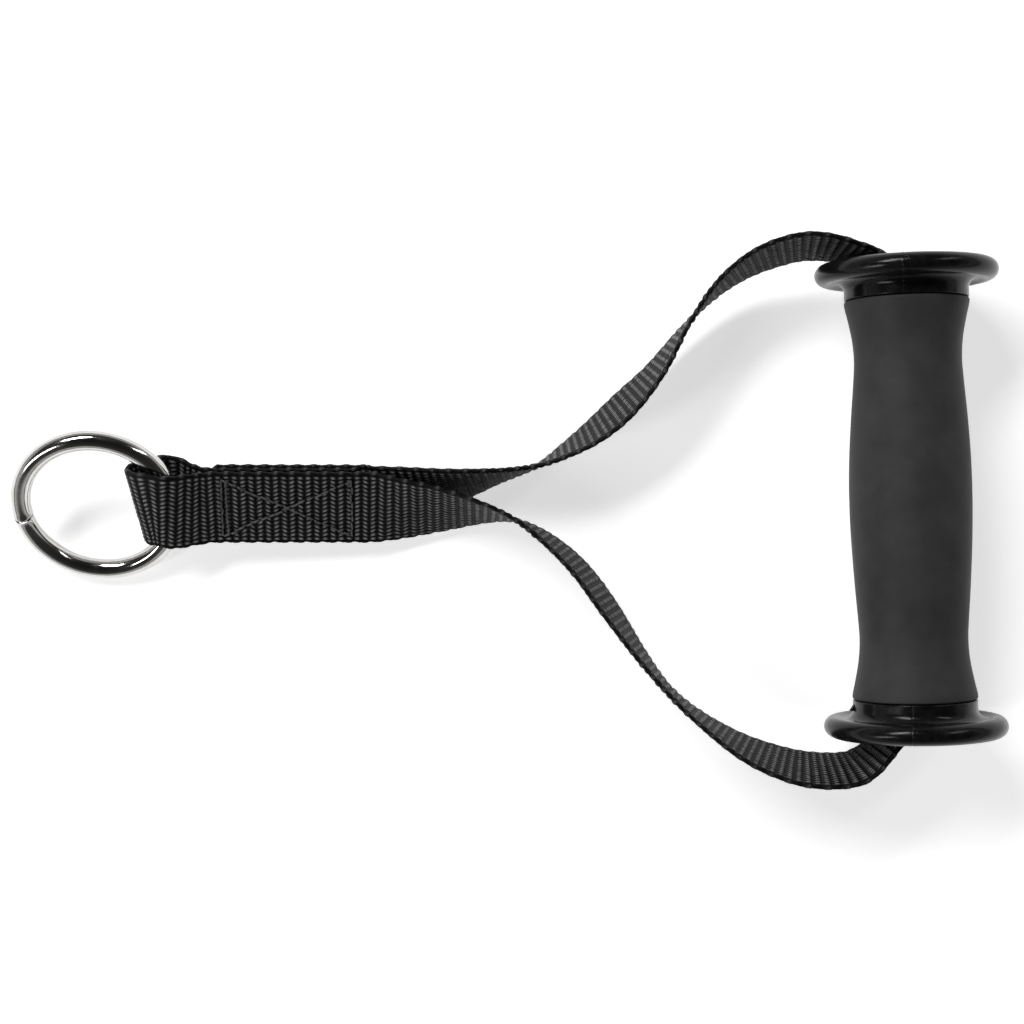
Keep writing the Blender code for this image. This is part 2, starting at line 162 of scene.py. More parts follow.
WELD_FINE = 9.0                              # degrees to each side of the weld with fine points
WELD_BOW = 3.2                               # degrees that the weld's line bows round the wire
WELD_SWELL, WELD_SWELL_WIDTH = 0.1, 4.0      # heights in mm, widths in degrees round the ring
WELD_NOTCH, WELD_NOTCH_WIDTH = 0.42, 0.45
WELD_LIP, WELD_LIP_PLACE, WELD_LIP_WIDTH = 0.08, 1.3, 0.6
WELD_STEP, WELD_STEP_FADE = 0.11, 14.0

MARK_TURN = math.radians(13.5)               # the caps' parting line, turned from the top towards the ring
GATE_PATH = (                                # along the rim in mm, and up over the rim in degrees
    (-0.05, -58.0), (0.0, -25.0), (0.15, 5.0), (0.6, 26.0),
    (1.3, 28.0), (1.75, 12.0), (1.95, -8.0), (2.3, -30.0),
)
GATE_PATH_PLAIN = GATE_PATH[:3]              # the other cap's mark has no hook
NIB_OUTLINE = ((0.5, -1.3), (-0.2, -1.2), (-0.8, -0.2), (-1.3, 0.4), (-1.1, 0.8), (0.5, 0.8))
NIB_SECTIONS = ((-0.75, 0.8), (-0.6, 0.94), (-0.3, 1.0), (0.3, 1.0), (0.6, 0.94), (0.75, 0.8))

# ---- studio and camera, in metres ---------------------------------------------

FLOOR_HALF = 9.0
FLOOR_DROP = 0.0004
FLOOR_TONE = 0.86
FLOOR_GLOW = 0.62
BACKDROP = (0.66, 0.66, 0.66)                # what the camera sees beyond the floor
WALLS = (                                    # what everything else sees: height and grey
    (0.0, 0.02), (0.07, 0.03), (0.13, 0.6), (0.3, 0.4), (0.42, 0.05), (0.7, 0.03), (1.0, 0.012),
)
LAMPS = (                                    # name, place, width and height, watts
    ("key", (-0.9, 1.1, 1.7), (1.1, 0.4), 26.0),
    ("side", (-1.5, -0.7, 1.3), (0.3, 0.9), 9.0),
    ("rim", (1.3, 0.9, 1.2), (0.2, 0.9), 3.5),
)
CAMERA_PLACE = (0.0023, -0.00045, 0.5825)
CAMERA_LENS = 64.34

# ---- chance, drawn in this order and then for each stitch ----------------------

rng = np.random.default_rng(20)
rib_noise = rng.normal(0.0, 1.0, RIBS)
bead_noise = rng.normal(0.0, 1.0, (RIBS, BEADS))


# ---- frames, as in the CAD part ----------------------------------------------


def width_vector(yaw, roll):
    """Unit vector across the webbing, level at roll 0 and upright at roll 90."""
    turn = math.radians(yaw)
    lean = math.radians(roll)
    return Vector((-math.sin(turn) * math.cos(lean), math.cos(turn) * math.cos(lean), math.sin(lean)))


def tab_axes():
    """Directions along, across and out of the sewn part."""
    pitch = math.radians(TAB_PITCH)
    along = Vector((math.cos(pitch), 0.0, -math.sin(pitch)))
    across = width_vector(0.0, TAB_ROLL)
    across = (across - along * across.dot(along)).normalized()
    return along, across, along.cross(across)


def tab_point(along_mm, layer, across_mm=0.0, lift=0.0):
    along, across, out = tab_axes()
    return Vector(TAB_CENTRE) + along * along_mm + across * across_mm + out * (layer * LAYER_PITCH + lift)


def handle_place():
    """Matrix of the handle: local Z is its axis, towards +Y, and local X points away from the ring."""
    lean = math.radians(HANDLE_LEAN)
    axis = Vector((-math.sin(lean), math.cos(lean), 0.0))
    side = Vector((math.cos(lean), math.sin(lean), 0.0))
    turn = Matrix((side, axis.cross(side), axis)).transposed().to_4x4()
    return Matrix.Translation(Vector(HANDLE_CENTRE)) @ turn


def handle_point(beside, outward):
    return handle_place() @ Vector((beside, 0.0, outward))


# ---- the webbing's route, as in the CAD part ---------------------------------


def tab_stations(places, layer):
    across = tab_axes()[1]
    return [(tab_point(place, layer), across.copy()) for place in places]


def opening_stations(layer, side):
    across = tab_axes()[1]
    return [(tab_point(place, layer, 0.0, side * lift), across.copy()) for place, lift in LOOP_OPENING]


def fold_stations():
    return [(Vector((x, y, z)), width_vector(yaw, roll)) for x, y, z, yaw, roll in FOLD_ROUTE]


def arm_stations(before, arm, mouth, outward_sign):
    """Stations of one arm, whose width leans by its roll about the arm's own level heading."""
    points = [Vector((x, y, z)) for x, y, z, roll in arm]
    points += [handle_point(beside, outward_sign * outward) for beside, outward, roll in mouth]
    rolls = [row[-1] for row in arm + mouth]
    ahead = points[1:] + [handle_point(0.0, 0.0)]
    behind = [before] + points[:-1]
    found = []
    for point, last, following, roll in zip(points, behind, ahead, rolls):
        heading = following - last
        yaw = math.degrees(math.atan2(heading.y, heading.x))
        found.append((point, width_vector(yaw, roll)))
    return found


def webbing_stations():
    """Stations from the hidden end, round the ring, down one arm, through the grip and back."""
    tail = tab_stations((TAIL_END_ALONG, 8.0, -9.0, -21.0), 0) + opening_stations(0, -1.0)
    front = opening_stations(1, 1.0)[::-1] + tab_stations((-21.0, -9.0, 9.0, 22.0, TAB_HINGE_ALONG), 1)
    back = tab_stations((BACK_END_ALONG, -7.0, 9.0, 22.0, TAB_HINGE_ALONG), -1)
    lower = arm_stations(front[-1][0], LOWER_ARM, LOWER_MOUTH, -1.0)
    upper = arm_stations(back[-1][0], UPPER_ARM, UPPER_MOUTH, 1.0)
    marks = {}
    route = []
    for name, stretch in (
        ("tail", tail), ("fold", fold_stations()), ("front", front),
        ("lower", lower), ("upper", upper[::-1]), ("back", back[::-1]),
    ):
        marks[name] = len(route)
        route += stretch
    return route, marks


def catmull(before, start, end, after, share):
    return 0.5 * (
        2.0 * start + (end - before) * share
        + (2.0 * before - 5.0 * start + 4.0 * end - after) * share**2
        + (3.0 * start - before - 3.0 * end + after) * share**3
    )


def fine_route(steps=12):
    """Arrays along the route: distance, place and width direction, and each station's distance."""
    route, marks = webbing_stations()
    places = []
    widths = []
    for index in range(len(route) - 1):
        four = [route[min(max(index + k, 0), len(route) - 1)] for k in (-1, 0, 1, 2)]
        for step in range(steps):
            places.append(catmull(*(station[0] for station in four), step / steps))
            widths.append(catmull(*(station[1] for station in four), step / steps))
    places.append(route[-1][0])
    widths.append(route[-1][1])
    places = np.array(places)
    distance = np.concatenate(([0.0], np.cumsum(np.linalg.norm(np.diff(places, axis=0), axis=1))))
    return distance, places, np.array(widths), distance[::steps], marks


def eased(values, sigma, step):
    """Values smoothed along the route with a bell of that width, their ends held."""
    reach = int(3.0 * sigma / step)
    offsets = np.arange(-reach, reach + 1) * step
    bell = np.exp(-0.5 * (offsets / sigma) ** 2)
    bell /= bell.sum()
    padded = np.concatenate((
        2.0 * values[0] - values[reach:0:-1], values, 2.0 * values[-1] - values[-2:-reach - 2:-1],
    ))
    return np.stack([np.convolve(padded[:, k], bell, "valid") for k in range(values.shape[1])], 1)


class Route:
    """The webbing's centre line, read at any distance along it."""

    STEP = 0.25

    def __init__(self):
        distance, places, widths, self.at, self.marks = fine_route()
        self.length = distance[-1]
        self.grid = np.linspace(0.0, self.length, int(self.length / self.STEP))
        step = self.grid[1]
        self.place = eased(self._spread(distance, places), 1.4, step)
        self.width = eased(self._spread(distance, widths), 1.4, step)
        ahead = np.gradient(self.place, axis=0)
        self.ahead = ahead / np.linalg.norm(ahead, axis=1)[:, None]

    def _spread(self, distance, values):
        return np.stack([np.interp(self.grid, distance, values[:, k]) for k in range(3)], 1)

    def _read(self, values, distance):
        return np.stack([np.interp(distance, self.grid, values[:, k]) for k in range(3)], 1)

    def frames(self, distance):
        """Place, width direction and face normal at each distance."""
        ahead = self._read(self.ahead, distance)
        width = self._read(self.width, distance)
        width -= ahead * np.sum(width * ahead, 1)[:, None]
        width /= np.linalg.norm(width, axis=1)[:, None]
        return self._read(self.place, distance), width, np.cross(ahead, width)


# ---- meshes ------------------------------------------------------------------


def link(name, mesh, material):
    mesh.materials.append(material)
    made = bpy.data.objects.new(name, mesh)
    bpy.context.scene.collection.objects.link(made)
    return made


def signed_volume(points, quads):
    a, b, c, d = (points[quads[:, k]] for k in range(4))
    return (np.einsum("ij,ij->i", a, np.cross(b, c)) + np.einsum("ij,ij->i", a, np.cross(c, d))).sum()


def grid_object(name, rings, material, wrap=False, sharp=None, attributes=(), uv=None):
    """Smooth closed object from rings of points in mm. Its ends are filled unless it wraps round."""
    count, around = rings.shape[:2]
    points = rings.reshape(-1, 3) * MM
    row = np.arange(count if wrap else count - 1)[:, None]
    column = np.arange(around)[None, :]
    low = row * around
    high = ((row + 1) % count) * around
    following = (column + 1) % around
    quads = np.stack((low + column, low + following, high + following, high + column), -1).reshape(-1, 4)
    flip = signed_volume(points - points.mean(0), quads) < 0.0
    if flip:
        quads = quads[:, ::-1]
    faces = quads.tolist()
    if not wrap:
        first = list(range(around))
        last = list(range((count - 1) * around, count * around))
        faces += [first, last[::-1]] if flip else [first[::-1], last]
    mesh = bpy.data.meshes.new(name)
    mesh.from_pydata(points.tolist(), [], faces)
    for label, values in attributes:
        layer = mesh.attributes.new(label, "FLOAT", "POINT")
        layer.data.foreach_set("value", np.asarray(values, np.float32).ravel())
    if uv is not None:
        corner = np.zeros(len(mesh.loops), np.int32)
        mesh.loops.foreach_get("vertex_index", corner)
        layer = mesh.uv_layers.new(name="weave")
        layer.data.foreach_set("uv", uv.reshape(-1, 2)[corner].astype(np.float32).ravel())
    mesh.shade_smooth()
    if sharp is not None:
        mesh.set_sharp_from_angle(angle=math.radians(sharp))
    if not wrap:
        mark_rims_sharp(mesh, around, count)
    mesh.update()
    return link(name, mesh, material)


def mark_rims_sharp(mesh, around, count):
    """The edges of the two end faces are sharp, so that lengths of webbing meet without a dark line."""
    ends = np.zeros(len(mesh.edges) * 2, np.int32)
    mesh.edges.foreach_get("vertices", ends)
    ends = ends.reshape(-1, 2)
    rim = (ends.max(1) < around) | (ends.min(1) >= (count - 1) * around)
    layer = mesh.attributes.get("sharp_edge") or mesh.attributes.new("sharp_edge", "BOOLEAN", "EDGE")
    layer.data.foreach_set("value", rim)


# ---- webbing -------------------------------------------------------------------


def section_samples():
    """Samples round the webbing's section.

    Rows: place across, face (1 top, -1 bottom, 0 edge), edge angle, place in the bead, bead.
    """
    inner = WEB_WIDTH / 2.0 - EDGE_RADIUS
    pitch = 2.0 * inner / BEADS
    across = [(bead, phase) for bead in range(BEADS) for phase in BEAD_SAMPLES] + [(BEADS - 1, 1.0)]
    face = [(inner - pitch * (bead + phase), phase, bead) for bead, phase in across]
    rows = [(place, 1.0, 0.0, phase, bead) for place, phase, bead in face]
    rows += [(-inner, 0.0, angle, 0.0, 0) for angle in EDGE_ANGLES]
    rows += [(place, -1.0, 0.0, phase, bead) for place, phase, bead in face[::-1]]
    rows += [(inner, 0.0, 180.0 - angle, 0.0, 0) for angle in EDGE_ANGLES[::-1]]
    return np.array(rows).T


def stitch_rows():
    """Ends of each sewn row in the plane of the sewn part: two bars and a cross."""
    wide = STITCH_HALF_WIDTH
    return (
        ((STITCH_LEFT, -wide), (STITCH_LEFT, wide)),
        ((STITCH_LEFT + 1.3, wide), (STITCH_LEFT + 1.7, -wide)),
        ((STITCH_RIGHT, -wide), (STITCH_RIGHT, wide)),
        ((STITCH_LEFT, -wide), (STITCH_RIGHT, wide)),
        ((STITCH_LEFT, wide), (STITCH_RIGHT, -wide)),
    )


def stitch_sink(points):
    """How far the sewing pulls the faces in at points of the sewn part."""
    along, across, _ = tab_axes()
    local = points - np.array(TAB_CENTRE)
    flat = np.stack((local @ np.array(along), local @ np.array(across)), -1)
    nearest = np.full(flat.shape[:-1], 99.0)
    for start, end in stitch_rows():
        start, run = np.array(start), np.array(end) - np.array(start)
        share = np.clip(((flat - start) @ run) / (run @ run), 0.0, 1.0)
        nearest = np.minimum(nearest, np.linalg.norm(flat - start - share[..., None] * run, axis=-1))
    groove = STITCH_SINK * np.exp(-((nearest / STITCH_GROOVE) ** 2))
    return groove + PUCKER_DEPTH * np.exp(-((nearest / PUCKER_WIDTH) ** 2))


def rib_places(first, last, coarse):
    """Rib number and place in the rib, for each ring of points."""
    samples = (0.0, 0.5) if coarse else RIB_SAMPLES
    ribs = np.repeat(np.arange(first, last), len(samples))
    shares = np.tile(samples, last - first)
    return np.append(ribs, last), np.append(shares, 0.0)


def webbing(name, route, first, last, material, sewn=False, coarse=False, cut=0):
    """The webbing between two ribs, with its slanted yarns, grooves and corded edges."""
    pitch = route.length / RIBS
    ribs, shares = rib_places(first, last, coarse)
    distance = (ribs + shares) * pitch
    place, width, normal = route.frames(distance)
    across, face, angle, phase, bead = section_samples()
    lean = np.where(ribs % 2 == 0, 1.0, -1.0) * (shares - 0.5)
    lean[shares == 0.0] = np.where(ribs[shares == 0.0] % 2 == 0, -0.5, 0.5)
    taper = np.clip((BEAD_SLANT_END - np.abs(across)) / 2.0, 0.0, 1.0)
    rib = np.sin(np.pi * shares) ** RIB_ROUNDNESS
    yarn = np.abs(np.sin(np.pi * phase)) ** BEAD_ROUNDNESS
    number = ribs % RIBS
    uneven = 1.0 + RIB_UNEVENNESS * rib_noise[number][:, None]
    uneven = uneven + BEAD_UNEVENNESS * bead_noise[number][:, bead.astype(int)]
    top = WEB_THICK / 2.0 - FACE_FLOOR
    raised = top * rib[:, None] * (BETWEEN_BEADS + (1.0 - BETWEEN_BEADS) * yarn[None, :]) * uneven
    turn = np.radians(angle)[None, :]
    twist = 0.5 * np.pi * (ribs + shares)[:, None] + 0.6 * np.sign(across)[None, :] + 0.35 * np.sin(turn)
    calm = EDGE_BUMP * (1.0 - 0.5 * np.clip((place[:, 0] - EDGE_CALM_START) / EDGE_CALM_RUN, 0.0, 1.0))
    cord = calm[:, None] * np.abs(np.sin(twist)) ** 0.7 - 0.16 * (1.0 - rib[:, None])
    edge = EDGE_RADIUS + cord - 0.25
    on_edge = face == 0.0
    sideways = across[None, :] + BEAD_SLANT * lean[:, None] * taper[None, :] * np.abs(face)[None, :]
    sideways = sideways + np.where(on_edge, np.sign(across) * np.abs(np.cos(turn)) * edge, 0.0)
    outward = np.where(on_edge, np.sin(turn) * (edge * 0.86), face[None, :] * (FACE_FLOOR + raised))
    points = place[:, None] + width[:, None] * sideways[..., None]
    if sewn:
        outward = outward - np.where(face[None, :] > 0.0, stitch_sink(points), 0.0)
    if cut:
        outward, sideways = melted(outward, sideways, distance, cut * route.length if cut > 0 else 0.0)
    points = place[:, None] + width[:, None] * sideways[..., None] + normal[:, None] * outward[..., None]
    # painted light for the webbing's colour: 0 is painted shade in the grooves and between ribs, 1 is a
    # painted highlight on the yarn crowns and on the edges' knots
    edge_painted_light = 0.12 + 0.55 * np.abs(np.sin(twist)) ** 3 * rib[:, None]
    face_painted_light = rib[:, None] ** 1.5 * yarn[None, :] ** 1.1
    painted_light = np.where(on_edge, edge_painted_light, face_painted_light)
    run = np.broadcast_to(distance[:, None], sideways.shape)
    uv = np.stack((run, sideways + BACK_FACE_SHIFT * (face[None, :] < 0.0)), -1) * 0.01
    return grid_object(name, points, material, attributes=(("painted_light", painted_light),), uv=uv)


def melted(outward, sideways, distance, end):
    """The hot-cut ends of the webbing: a thin lip, wider at one end and narrower at the other."""
    near = np.exp(-((distance - end) / 1.1) ** 2)[:, None]
    return outward * (1.0 - 0.45 * near), sideways * (1.0 + (0.03 if end == 0.0 else -0.09) * near)


def build_webbing(route, material):
    pitch = route.length / RIBS
    front_middle = round((route.at[route.marks["front"]] + STITCH_RIGHT - LOOP_HINGE_ALONG) / pitch)
    mouth_in = round(route.at[route.marks["upper"] - 4] / pitch)
    mouth_out = round(route.at[route.marks["upper"] + 3] / pitch)
    loop = webbing("webbing_loop", route, 0, front_middle, material, sewn=True, cut=-1)
    lower = webbing("webbing_lower", route, front_middle, mouth_in, material, sewn=True)
    run = webbing("webbing_in_grip", route, mouth_in, mouth_out, material, coarse=True)
    upper = webbing("webbing_upper", route, mouth_out, RIBS, material, sewn=True, cut=1)
    return loop, lower, run, upper


# ---- stitching -------------------------------------------------------------------


def stitch(points, outs):
    """Ring points of one twisted stitch along a short line of centres, with its ends sunk in the webbing."""
    ahead = np.gradient(points, axis=0)
    ahead /= np.linalg.norm(ahead, axis=1)[:, None]
    aside = np.cross(ahead, outs)
    rings = []
    for index, (centre, side, out) in enumerate(zip(points, aside, outs)):
        share = index / (len(points) - 1)
        turn = np.linspace(0.0, 2.0 * np.pi, 10, endpoint=False)
        taper = 0.55 + 0.45 * math.sin(math.pi * share) ** 0.5
        radius = THREAD_RADIUS * taper * (1.0 + 0.16 * np.cos(3.0 * turn - 9.0 * share))
        rings.append(centre + np.outer(radius * np.cos(turn), side) + np.outer(radius * np.sin(turn), out))
    return np.array(rings)


def stitches_on(layer, side):
    """Rings of every stitch on one face of the sewn part."""
    along, across, out = (np.array(axis) for axis in tab_axes())
    height = WEB_THICK / 2.0 - STITCH_SINK + 0.18
    made = []
    for start, end in stitch_rows():
        start, end = np.array(start), np.array(end)
        run = end - start
        count = round(np.linalg.norm(run) / STITCH_LENGTH)
        for index in range(count):
            share = (index + np.linspace(0.04, 0.96, 9)) / count
            stray = rng.normal(0.0, STITCH_STRAY, 2)
            swing = np.outer(share - share.mean(), rng.normal(0.0, STITCH_SWING, 2))
            flat = start + share[:, None] * run + stray + swing
            rise = 0.36 * np.sin(np.linspace(0.0, np.pi, 9)) ** 0.6 - 0.22
            place = np.array(TAB_CENTRE) + flat[:, :1] * along + flat[:, 1:] * across
            place = place + ((side * (height + rise)) + layer * LAYER_PITCH)[:, None] * out
            made.append(stitch(place, np.tile(out * side, (9, 1))))
    return made


def many_tubes(name, tubes, material):
    """One object of many small closed tubes."""
    points = []
    faces = []
    for rings in tubes:
        count, around = rings.shape[:2]
        base = len(points)
        points += (rings.reshape(-1, 3) * MM).tolist()
        for row in range(count - 1):
            for column in range(around):
                following = (column + 1) % around
                low, high = base + row * around, base + (row + 1) * around
                faces.append((low + column, high + column, high + following, low + following))
        faces.append(tuple(range(base, base + around)))
        faces.append(tuple(range(base + count * around - 1, base + (count - 1) * around - 1, -1)))
    mesh = bpy.data.meshes.new(name)
    mesh.from_pydata(points, [], faces)
    mesh.shade_smooth()
    return link(name, mesh, material)


# ---- ring --------------------------------------------------------------------------


def build_ring(material):
    """Bent wire with the notch, bead and slight step of its butt weld."""
    tilt = math.radians(RING_TILT)
    level = np.array((1.0, 0.0, 0.0))
    raised = np.array((0.0, math.cos(tilt), math.sin(tilt)))
    normal = np.cross(level, raised)
    near = WELD_ANGLE + np.linspace(-WELD_FINE, WELD_FINE, 73)
    far = WELD_ANGLE + WELD_FINE + np.arange(1, 171) * (360.0 - 2.0 * WELD_FINE) / 171
    angles = np.concatenate((near, far))
    sides = np.linspace(0.0, 2.0 * np.pi, 56, endpoint=False)
    away = angles[:, None] - WELD_ANGLE - WELD_BOW * (np.abs(np.sin(sides)) ** 1.5)[None, :]
    away = (away + 180.0) % 360.0 - 180.0
    radius = RING_WIRE + WELD_SWELL * np.exp(-((away / WELD_SWELL_WIDTH) ** 2))
    radius = radius - WELD_NOTCH * np.exp(-((away / WELD_NOTCH_WIDTH) ** 2))
    radius = radius + WELD_LIP * np.exp(-(((away - WELD_LIP_PLACE) / WELD_LIP_WIDTH) ** 2))
    past = 1.0 / (1.0 + np.exp(-np.clip(away, -99.0, 99.0) * 4.0))
    radius = radius - WELD_STEP * past * np.exp(-np.clip(away, 0.0, 99.0) / WELD_STEP_FADE)
    turn = np.radians(angles)
    outward = np.cos(turn)[:, None] * level + np.sin(turn)[:, None] * raised
    centre = np.array(RING_CENTRE) + outward * RING_RADIUS
    offset = outward[:, None] * np.cos(sides)[None, :, None] + normal * np.sin(sides)[None, :, None]
    return grid_object("plated_ring", centre[:, None] + offset * radius[..., None], material, wrap=True)


# ---- handle --------------------------------------------------------------------------


def arc(centre, radius, start, end, count):
    """Points of a circular arc in the outline's plane, angles in degrees."""
    turn = np.radians(np.linspace(start, end, count + 1))
    return [(centre[0] + radius * math.cos(t), centre[1] + radius * math.sin(t)) for t in turn]


def dense_line(start, end, count):
    return [tuple(np.array(start) + (np.array(end) - np.array(start)) * k / count) for k in range(1, count)]


def turn_angles(marks, count=150, spread=0.09, fine=19):
    """Angles round a turned piece, crowded about the marked ones."""
    even = np.linspace(0.0, 2.0 * np.pi, count, endpoint=False)
    crowded = [mark + np.linspace(-spread, spread, fine) for mark in marks]
    for mark in marks:
        even = even[np.abs((even - mark + np.pi) % (2.0 * np.pi) - np.pi) > spread + 0.015]
    return np.sort(np.concatenate([even, *crowded]) % (2.0 * np.pi))


def turned(name, outline, place, material, angles, shift=None, sharp=40.0):
    """Object turned about the local Z axis of a place.

    shift(radius, height, angle) gives the moved radius and height of its points.
    """
    radius, height = (np.array([point[k] for point in outline])[None, :] for k in range(2))
    turn = angles[:, None]
    radius, height = radius + 0.0 * turn, height + 0.0 * turn
    if shift is not None:
        radius, height = shift(radius, height, turn)
    local = np.stack((radius * np.cos(turn), radius * np.sin(turn), height), -1)
    matrix = np.array(place)
    return grid_object(name, local @ matrix[:3, :3].T + matrix[:3, 3], material, wrap=True, sharp=sharp)


def contour(per_span=9):
    """Heights and radii eased through the grip's contour, from its middle to one end."""
    found = []
    for index in range(len(GRIP_CONTOUR) - 1):
        four = [Vector(GRIP_CONTOUR[min(max(index + k, 0), len(GRIP_CONTOUR) - 1)]) for k in (-1, 0, 1, 2)]
        if index == 0:
            four[0] = Vector((-GRIP_CONTOUR[1][0], GRIP_CONTOUR[1][1]))
        found += [tuple(catmull(*four, step / per_span)) for step in range(per_span)]
    return found


def grip_shift(radius, height, turn):
    """Slight unevenness of a moulded sleeve; its bore stays round."""
    skin = np.clip((radius - TUBE_RADIUS - 0.4) / 0.5, 0.0, 1.0)
    wave = 0.05 * np.sin(height * 0.11 + 2.0 * np.sin(turn)) + 0.04 * np.sin(3.0 * turn + height * 0.05)
    return radius + skin * wave, height


def build_grip(material):
    """Contoured rubber sleeve with a small rolled lip at each end."""
    inner = TUBE_RADIUS + FIT_GAP
    half = [(radius, height) for height, radius in contour() if height < GRIP_HALF - 0.7]
    lip = arc((GRIP_CONTOUR[-1][1] - 0.55, GRIP_HALF - 0.5), 0.5, 10.0, 90.0, 5)
    upper = half + lip + dense_line(lip[-1], (inner, GRIP_HALF), 3) + [(inner, GRIP_HALF)]
    bore = [(inner, GRIP_HALF * (1.0 - k / 6.0)) for k in range(1, 12)]
    outline = upper + bore + [(radius, -height) for radius, height in upper[:0:-1]]
    return turned("rubber_grip", outline, handle_place(), material, turn_angles((), 160), grip_shift)


def build_tube(material):
    """Core tube with eased ends."""
    ease = 0.3
    top = [(TUBE_RADIUS, TUBE_HALF - ease), (TUBE_RADIUS - ease, TUBE_HALF), (BORE_RADIUS + ease, TUBE_HALF),
           (BORE_RADIUS, TUBE_HALF - ease)]
    inside = [(BORE_RADIUS, TUBE_HALF * (1.0 - k / 6.0)) for k in range(1, 12)]
    outside = [(TUBE_RADIUS, -TUBE_HALF * (1.0 - k / 6.0)) for k in range(1, 12)]
    outline = top + inside + [(radius, -height) for radius, height in top[::-1]] + outside
    return turned("grip_core", outline, handle_place(), material, turn_angles((), 120))


def cap_outline():
    """Half section of an end cap: socket, collar, dished flange with a round rim, flared mouth."""
    start = GRIP_HALF + FIT_GAP
    flange_start = start + COLLAR_LENGTH
    flange_end = flange_start + FLANGE_THICK
    socket = TUBE_RADIUS + FIT_GAP
    shoulder = TUBE_HALF + FIT_GAP
    rim = FLANGE_THICK / 2.0
    rim_centre = (FLANGE_RADIUS - rim, flange_start + rim)
    fillet = 3.0
    web = flange_start + 0.7
    flare = (BORE_RADIUS + MOUTH_FLARE, flange_end - MOUTH_FLARE)
    outline = [(socket, start), *dense_line((socket, start), (COLLAR_RADIUS - 0.35, start), 4)]
    outline += arc((COLLAR_RADIUS - 0.35, start + 0.35), 0.35, -90.0, 0.0, 4)
    outline += dense_line((COLLAR_RADIUS, start + 0.35), (COLLAR_RADIUS, web - fillet), 8)
    outline += arc((COLLAR_RADIUS + fillet, web - fillet), fillet, 180.0, 90.0, 12)
    outline += dense_line(outline[-1], arc(rim_centre, rim, -112.0, 112.0, 2)[0], 3)
    outline += arc(rim_centre, rim, -112.0, 112.0, 56)
    outline += dense_line(outline[-1], (flare[0] + 2.2, flange_end - 0.5), 3)
    outline += [(flare[0] + 2.2, flange_end - 0.5), (flare[0] + 1.0, flange_end - 0.12)]
    outline += arc(flare, MOUTH_FLARE, 90.0, 180.0, 26)
    outline += [(BORE_RADIUS, (shoulder + flange_end - MOUTH_FLARE) / 2.0), (BORE_RADIUS, shoulder)]
    outline += [(socket, shoulder), *dense_line((socket, shoulder), (socket, start), 5)]
    return outline


def cap_shift(up):
    """Moulding marks of an end cap: a parting line on two sides, and a faint waviness."""

    def shift(radius, height, turn):
        skin = np.clip((radius - COLLAR_RADIUS + 0.6) / 0.5, 0.0, 1.0)
        ridge = np.zeros_like(radius)
        for mark in (up, up + np.pi):
            away = ((turn - mark + np.pi) % (2.0 * np.pi) - np.pi) * radius
            ridge += 0.1 * np.exp(-((away / 0.16) ** 2)) - 0.05 * np.exp(-(((away - 0.42) / 0.2) ** 2))
        wave = 0.025 * np.sin(5.0 * turn + 0.6 * radius) + 0.02 * np.sin(9.0 * turn + 1.3)
        middle = GRIP_HALF + FIT_GAP + COLLAR_LENGTH + FLANGE_THICK / 2.0
        lift = np.sign(height - middle) * np.clip((FLANGE_RADIUS - 0.4 - radius) / 1.5, 0.0, 1.0)
        on_flange = np.clip((radius - COLLAR_RADIUS - 1.5) / 1.0, 0.0, 1.0)
        return (
            radius + skin * (ridge * (1.0 - 0.8 * on_flange * np.abs(lift)) + wave),
            height + skin * on_flange * lift * ridge,
        )

    return shift


def ridge_tube(points, outs, radius):
    """Rings of a fine raised line along points, for a moulding mark."""
    points, outs = np.array(points), np.array(outs)
    ahead = np.gradient(points, axis=0)
    ahead /= np.linalg.norm(ahead, axis=1)[:, None]
    aside = np.cross(ahead, outs)
    turn = np.linspace(0.0, 2.0 * np.pi, 10, endpoint=False)
    size = radius * np.sin(np.linspace(0.12, np.pi - 0.12, len(points))) ** 0.4
    ring = np.cos(turn)[None, :, None] * aside[:, None] + np.sin(turn)[None, :, None] * outs[:, None]
    return points[:, None] + ring * size[:, None, None]


def gate_mark(place, up, over):
    """Hooked line left on the rim by the mould's gate, beside the parting line."""
    rim = FLANGE_THICK / 2.0
    middle = GRIP_HALF + FIT_GAP + COLLAR_LENGTH + rim
    reach = rim + 0.05
    rows = np.array(GATE_PATH_PLAIN if over else GATE_PATH)
    fine = np.linspace(0.0, len(rows) - 1.0, 5 * len(rows))
    aside = np.interp(fine, np.arange(len(rows)), rows[:, 0])
    lift = np.radians(np.interp(fine, np.arange(len(rows)), rows[:, 1]))
    matrix = np.array(place)
    points = []
    outs = []
    for side, angle in zip(aside, lift):
        radius = FLANGE_RADIUS - rim + reach * math.cos(angle)
        turn = up + side / radius * (-1.0 if over else 1.0)
        points.append((radius * math.cos(turn), radius * math.sin(turn), middle + reach * math.sin(angle)))
        outs.append((math.cos(angle) * math.cos(turn), math.cos(angle) * math.sin(turn), math.sin(angle)))
    points = np.array(points) @ matrix[:3, :3].T + matrix[:3, 3]
    return ridge_tube(points, np.array(outs) @ matrix[:3, :3].T, 0.24)


def nib(place, corner):
    """Small gusset on the side towards the ring: in the corner of collar and flange, or low on the collar."""
    start = GRIP_HALF + FIT_GAP + (COLLAR_LENGTH if corner else 2.4)
    rings = []
    for across, size in NIB_SECTIONS:
        rings.append([(-COLLAR_RADIUS + x * size, across, start + z * size) for x, z in NIB_OUTLINE])
    matrix = np.array(place)
    return np.array(rings) @ matrix[:3, :3].T + matrix[:3, 3]


